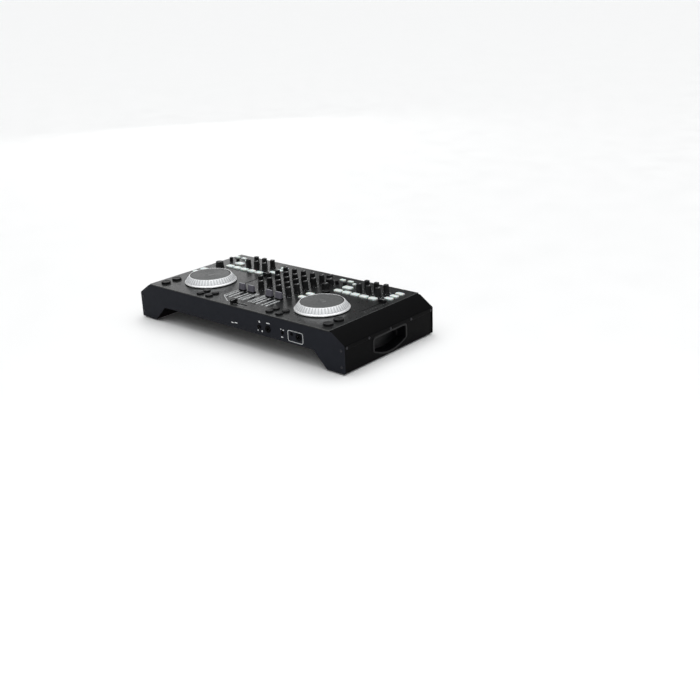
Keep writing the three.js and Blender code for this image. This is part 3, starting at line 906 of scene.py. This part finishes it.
def make_rear():
    """Rear plate with its recessed bay and the bay's sockets."""
    half, low, high = REAR_BAY["half_width"], REAR_BAY["low"], REAR_BAY["high"]
    width, height, centre_z = 2 * half, high - low, (low + high) / 2
    bay = rectangle(0, centre_z, width + 3.2, height + 3.2, 2.5)
    sheet = plate(end_plate_outline(), [bay], 0, SHEET)
    shape = Shape().add(sheet, place=(0, REAR_FACE - SHEET, 0), turn=FACING_BACK)
    put_shape("rear_plate", shape, [CASE_BLACK], "case", "case_black", ["rear_panel"])

    depth = REAR_BAY["depth"]
    levels = [
        (-1, -depth), (0, -depth + 1), (0, -0.6), (0.5, 0), (2.6, 0), (3.0, -0.4), (1.5, -0.5),
        (1.5, -depth - 1.5),
    ]
    rings = []
    for grow, z in levels:
        outline = rectangle(0, 0, width + 2 * grow, height + 2 * grow, 1.5)
        rings.append([(x, y, z) for x, y in outline])
    tub = Shape().add(loft(rings))
    put_shape("rear_socket_tub", tub, [CASE_BLACK], "case", "case_black",
              place=(0, REAR_FACE + 0.3, centre_z), turn=FACING_BACK)

    def put_socket(name, socket, x, z=centre_z):
        put_shape(name, *socket, "case", place=(x, REAR_FACE - depth, z), turn=FACING_BACK)

    for i, x in enumerate(PIN_JACK_X):
        for row, side, insulator in (("upper", 1, SOCKET_IVORY), ("lower", -1, SOCKET_RED)):
            place_z = centre_z + PIN_JACK_ROW * side
            put_socket(f"pin_jack_{i + 1}_{row}", pin_jack(insulator), x, place_z)
    for i, x in enumerate(OUTPUT_X):
        put_socket(f"balanced_output_{i + 1}", balanced_output(), x)
    put_socket("data_port", data_port(), DATA_PORT_X)
    put_socket("power_inlet", power_inlet(), POWER_INLET_X)


def recess_outline(grow, count=17):
    """The D-shaped hand recess, grown outwards, in y and z: two bent upper corners, and a curve
    below from one side to the other."""
    half, top = HAND_RECESS["half"] + grow, HAND_RECESS["top"] + grow
    corner = HAND_RECESS["corner"]
    low = 2 * (HAND_RECESS["bottom"] - grow) - corner
    radius = max(6 + grow, 1.5)
    points = arc(half - radius, top - radius, radius, 0, 90, 7)
    points += arc(radius - half, top - radius, radius, 90, 180, 7)
    for t in spread(0, 1, count):
        z = corner * (1 - t) ** 2 + 2 * low * t * (1 - t) + corner * t * t
        points.append((-half + 2 * half * t, z))
    return points


def make_sides():
    """Side plates, and the hand recesses with their rims."""
    for word, side in SIDES:
        node = f"{word}_side_panel"
        low, high = box_mm(node)
        face = max(abs(low.x), abs(high.x))
        outline = rectangle(0, (low.z + high.z) / 2, high.y - low.y, high.z - low.z, 0.8)
        sheet = plate(outline, [recess_outline(2.4)], 0, SHEET)
        skin = Shape().add(sheet, place=(side * (face - SHEET), 0, 0), turn=FACING_SIDE[side])
        put_shape(f"{word}_side_plate", skin, [CASE_BLACK], "case", "case_black", [node])
        depth = HAND_RECESS["depth"]
        levels = [
            (-5, -depth), (-2.2, -depth + 0.8), (-0.8, -depth + 3), (0, -2), (0.2, 0.5), (0.9, 1.1),
            (4.4, 1.1), (5.2, 0.5), (5.3, 0.05), (2, 0.0), (1.2, -depth - 2),
        ]
        rings = [[(y, z, out) for y, z in recess_outline(grow)] for grow, out in levels]
        recess = Shape().add(loft(rings))
        put_shape(f"{word}_hand_recess", recess, [RECESS_BLACK], "case", "case_black",
                  place=(side * face, 0, 0), turn=FACING_SIDE[side])


def make_cheeks():
    """The sloping shoulder covers with their vertical lips."""
    for word, side in SIDES:
        node = f"{word}_cheek"
        low, high = box_mm(node)
        top, inside = min(abs(low.x), abs(high.x)), HALF_WIDTH - 3
        corners = [
            (top, high.z), (HALF_WIDTH, SHOULDER_LOW), (HALF_WIDTH, low.z), (inside, low.z),
            (inside, SHOULDER_LOW - 1.5), (top, high.z - 3.6),
        ]
        outline = rounded([(side * x, z) for x, z in corners], 1.3)
        half = (high.y - low.y) / 2
        shape = Shape().add(plate(outline, [], -half, half, 0.25), turn=FACING_FRONT)
        put_shape(f"{node}_cover", shape, [CASE_BLACK], "case", "case_black", [node])


def make_bottom():
    """The folded sheet that makes the soles of the legs and the roof of the laptop bay."""
    low, high = box_mm("bottom_tray")
    reach = high.x
    leg = HALF_WIDTH - LEG_WIDTH
    floor, roof = low.z + TRAY_SHEET, high.z - TRAY_SHEET
    outer = [(reach, low.z), (leg, low.z), (BAY_HALF_WIDTH, roof)]
    inner = [(reach, floor), (leg + 1, floor), (BAY_HALF_WIDTH + 1, high.z)]
    outline = rounded(outer + mirrored(outer) + [(-x, z) for x, z in inner] + inner[::-1], 1.5)
    half = (high.y - low.y) / 2
    shape = Shape().add(plate(outline, [], -half, half, 0.25), turn=FACING_FRONT)
    put_shape("bottom_sheet", shape, [CASE_BLACK], "case", "case_black", ["bottom_tray"])


FOOT_RADIUS = 11


def make_feet():
    """Two hollow rubber feet under each leg, joined by a thin strip."""
    pad = lathe([
        (0, 0.9), (3.2, 0.9), (3.4, 0.0), (9.6, 0.0), (10.6, 0.7), (FOOT_RADIUS, 1.6), (10.4, 3.2),
        (0, 3.2),
    ], 40)
    for word, _ in SIDES:
        node = f"{word}_foot_strip"
        place, span = middle(node), size(node)
        top = box_mm(node)[1].z
        shape = Shape().add(slab(10, span.y - 2 * FOOT_RADIUS, top - 1, top, 2, 0.3))
        for end in (-1, 1):
            shape.add(pad, place=(0, end * (span.y / 2 - FOOT_RADIUS), 0))
        put_shape(f"{word}_rubber_feet", shape, [FOOT_RUBBER], "case", "foot_rubber", [node],
                  place=(place.x, place.y, 0))


LEG_SCREW_X = 332
LEG_SCREW_Z = (56.5, 18.5)
LIP_SCREW_Y = (-150, -75, 0, 75, 150)
LIP_SCREW_Z = 61.5
REAR_SCREW_X = 125
REAR_SCREW_Z = (84, 60)


def make_screws():
    mesh = screw_mesh()
    places = []
    for side in (-1, 1):
        for z in LEG_SCREW_Z:
            places.append(("front", (side * LEG_SCREW_X, FRONT_FACE, z), FACING_FRONT))
            places.append(("rear", (side * LEG_SCREW_X, REAR_FACE, z), FACING_BACK))
        for y in LIP_SCREW_Y:
            places.append(("lip", (side * HALF_WIDTH, y, LIP_SCREW_Z), FACING_SIDE[side]))
        for z in REAR_SCREW_Z:
            places.append(("rear", (side * REAR_SCREW_X, REAR_FACE, z), FACING_BACK))
    for i, (kind, place, turn) in enumerate(places):
        put(f"{kind}_screw_{i + 1}", mesh, "case", place=place, turn=turn)


def finish_board():
    """The board shows as it is in the frame, in its own finish."""
    board = frame["nodes"]["main_board"]
    board.data.materials.clear()
    board.data.materials.append(BOARD_GREEN)


# ---- printing ----
KNOB_TURN = 150  # degrees to each side of the middle
KNOB_MARKS = 11
KNOB_MARK_GAP = 0.8  # between a knob's skirt and its marks
KNOB_MARK_LENGTH = 2.6
SCALE_MARKS = 56
TEMPO_MARKS = 9
CROSS_MARKS = 11
DIGIT_HEIGHT = 4
BRACKET = ((-76, -50), (-76, -113), (-70, -118), (-35, -141))  # line round the mixer's corner
SOCKET_FRAME = (198.3, 58.7, 45, 25, 5)  # x, z, width, height and corners
FRONT_BARS = (  # x and z of the middle, and width
    (-4, 52.6, 8), (8, 54, 9), (114.4, 73.8, 11), (154.5, 68.5, 3), (161.8, 67.6, 4),
    (157.3, 50.3, 6), (198, 71.2, 26),
)
FRONT_RINGS = ((86.8, 72.5, 1.7), (94.3, 51.2, 1.3), (80.9, 51.4, 0.8))  # x, z and radius


def ticks(shape, x, y, knob_width):
    """Marks fanned round a knob, from one end of its turn to the other."""
    near = knob_width / 2 + KNOB_MARK_GAP
    far = near + KNOB_MARK_LENGTH
    fan = (90 + KNOB_TURN, 90 - KNOB_TURN, KNOB_MARKS)
    for line in zip(arc(x, y, near, *fan), arc(x, y, far, *fan)):
        shape.add(stroke(line, 0.7))


def ladder(shape, x, low, high, inner, length):
    """A fader's scale: marks on both sides of x, longer at the ends and the middle."""
    long_marks = (0, SCALE_MARKS // 2, SCALE_MARKS - 1)
    for i, y in enumerate(spread(low, high, SCALE_MARKS)):
        reach = length * (1.0 if i in long_marks else 0.85)
        for side in (-1, 1):
            shape.add(stroke([(x + side * inner, y), (x + side * (inner + reach), y)], 0.42))


def digit(shape, text, x, y):
    """A number, as a thin solid shape."""
    curve = bpy.data.curves.new("digit", "FONT")
    curve.body = text
    curve.size = DIGIT_HEIGHT * 1.4
    curve.align_x = curve.align_y = "CENTER"
    curve.extrude = PRINT_HEIGHT
    shape.add(solid_of_curve(curve, (x, y, 0)))


def make_panel_print():
    """White marks round the knobs and along the faders, and a light grey line at the panel's edge
    that is a painted highlight.
    """
    shape = Shape()
    for node in KNOB_NODES:
        if node not in ("browse_knob", "left_loop_knob"):
            ticks(shape, middle(node).x, middle(node).y, size(node).x)
    for _, x, y, like in FIXED_KNOBS:
        ticks(shape, x, y, size(like).x)
    for i in range(1, 5):
        cap = middle(f"channel{i}_fader_cap")
        low, high = SLIDES[f"channel{i}_fader"]
        scale = (cap.y + low - 6, cap.y + high + 4)
        ladder(shape, cap.x, *scale, 2.8, 7.5)
        digit(shape, str(i), cap.x, cap.y + high + 12)
    for x in (-12, 12):  # the middle scales, as long as channel 4's
        ladder(shape, x, *scale, 0.6, 5.5)
    for word, _ in SIDES:
        cap = middle(f"{word}_tempo_cap")
        low, high = SLIDES[f"{word}_tempo"]
        for i, y in enumerate(spread(cap.y + low, cap.y + high, TEMPO_MARKS)):
            end = cap.x + (13 if i % 4 == 0 else 12)
            shape.add(stroke([(cap.x + 10, y), (end, y)], 0.4))
    cross = middle("crossfader_cap")
    low, high = SLIDES["crossfader"]
    for x in spread(cross.x + low, cross.x + high, CROSS_MARKS):
        for y in (5.5, -5.5):
            shape.add(stroke([(x, cross.y + y), (x, cross.y + y * 1.45)], 0.5))
    shape.add(stroke(BRACKET, 1.2))
    place = (0, 0, PANEL_TOP)
    put_shape("panel_print", shape, [PRINT_WHITE], "case", place=place)

    # The line round the panel's edge is a painted highlight.
    span = size("top_panel")
    edge = Shape().add(stroke(rectangle(0, 0, span.x - 1.3, span.y - 1.3, 1), 0.9, True))
    put_shape("panel_edge_highlight", edge, [EDGE_HIGHLIGHT], "case", place=place)


def make_front_print():
    """White marks beside the front sockets, in x and z."""
    shape = Shape()
    shape.add(stroke(rectangle(*SOCKET_FRAME), 1.2, True))
    for x, z, width in FRONT_BARS:
        shape.add(stroke([(x - width / 2, z), (x + width / 2, z)], 2.2))
    for x, z, radius in FRONT_RINGS:
        shape.add(stroke(circle(x, z, radius, 16), 1.6, True))
    place = (0, FRONT_FACE, 0)
    put_shape("front_print", shape, [PRINT_WHITE], "case", place=place, turn=FACING_FRONT)


# ---- stage ----
CAMERA_PLACE = (1.661, -1.6505, 0.8304)
CAMERA_TURN = (68.811, 2.339, 41.178)  # degrees about x, y and z
LENS = 51.88
CAMERA_SHIFT = (0.0215, 0.0015)

# Brightness of the studio by the sine of the elevation: pale sweep, dim band and soft ceiling.
SKY = ((0.0, 0.65), (0.06, 0.62), (0.14, 0.07), (0.5, 0.10), (0.7, 0.8), (1.0, 0.95))
FLOOR_REACH = 40  # metres to each side


def make_stage():
    scene = bpy.context.scene
    scene.view_settings.view_transform = "Standard"
    world = bpy.data.worlds.new("studio")
    world.use_nodes = True
    nodes, links = world.node_tree.nodes, world.node_tree.links
    background = nodes["Background"]
    background.inputs["Strength"].default_value = 1.25
    upward = nodes.new("ShaderNodeSeparateXYZ")
    links.new(nodes.new("ShaderNodeTexCoord").outputs["Generated"], upward.inputs["Vector"])
    ramp = nodes.new("ShaderNodeValToRGB")
    links.new(upward.outputs["Z"], ramp.inputs["Fac"])
    links.new(ramp.outputs["Color"], background.inputs["Color"])
    stops = ramp.color_ramp.elements
    for height, _ in SKY[1:-1]:
        stops.new(height)
    for stop, (height, shade) in zip(stops, SKY):
        stop.position = height
        stop.color = (shade * 0.98, shade * 0.99, shade, 1)
    scene.world = world

    floor_mesh = bpy.data.meshes.new("floor")
    signs = ((-1, -1), (1, -1), (1, 1), (-1, 1))
    corners = [(x * FLOOR_REACH, y * FLOOR_REACH, 0) for x, y in signs]
    floor_mesh.from_pydata(corners, [], [(0, 1, 2, 3)])
    floor_mesh.materials.append(
        finish("floor_pale", (0.92, 0.92, 0.915), 0.6, tint=0.01, cloud=3, grain=300, relief=0.05),
    )
    new_object("floor", floor_mesh)

    def soft_light(name, place, aim, width, height, watts):
        light = bpy.data.lights.new(name, "AREA")
        light.shape = "RECTANGLE"
        light.size, light.size_y, light.energy = width, height, watts
        lamp = new_object(name, light)
        lamp.location = place
        lamp.rotation_euler = (Vector(aim) - Vector(place)).to_track_quat("-Z", "Y").to_euler()

    soft_light("back_left", (-2.68, 2.08, 0.78), (-0.1, 0, 0.1), 1.1, 0.9, 4.6)
    soft_light("front_right", (1.3, -1.2, 0.5), (0.3, -0.16, 0.05), 0.5, 0.4, 3.0)
    sun = bpy.data.lights.new("overhead", "SUN")
    sun.energy = 1.2
    sun.angle = math.radians(60)
    lamp = new_object("overhead", sun)
    lamp.rotation_euler = Euler((math.radians(-12), math.radians(-10), 0))

    camera = bpy.data.cameras.new("camera")
    camera.lens = LENS
    camera.sensor_width = 36
    camera.shift_x, camera.shift_y = CAMERA_SHIFT
    viewer = new_object("camera", camera)
    viewer.location = CAMERA_PLACE
    viewer.rotation_euler = Euler([math.radians(a) for a in CAMERA_TURN])
    scene.camera = viewer


make_stage()
make_panel()
make_tempo_lips()
make_knobs()
make_jogs()
make_faders()
make_keys()
make_front()
make_rear()
make_sides()
make_cheeks()
make_bottom()
make_feet()
make_screws()
finish_board()
make_panel_print()
make_front_print()
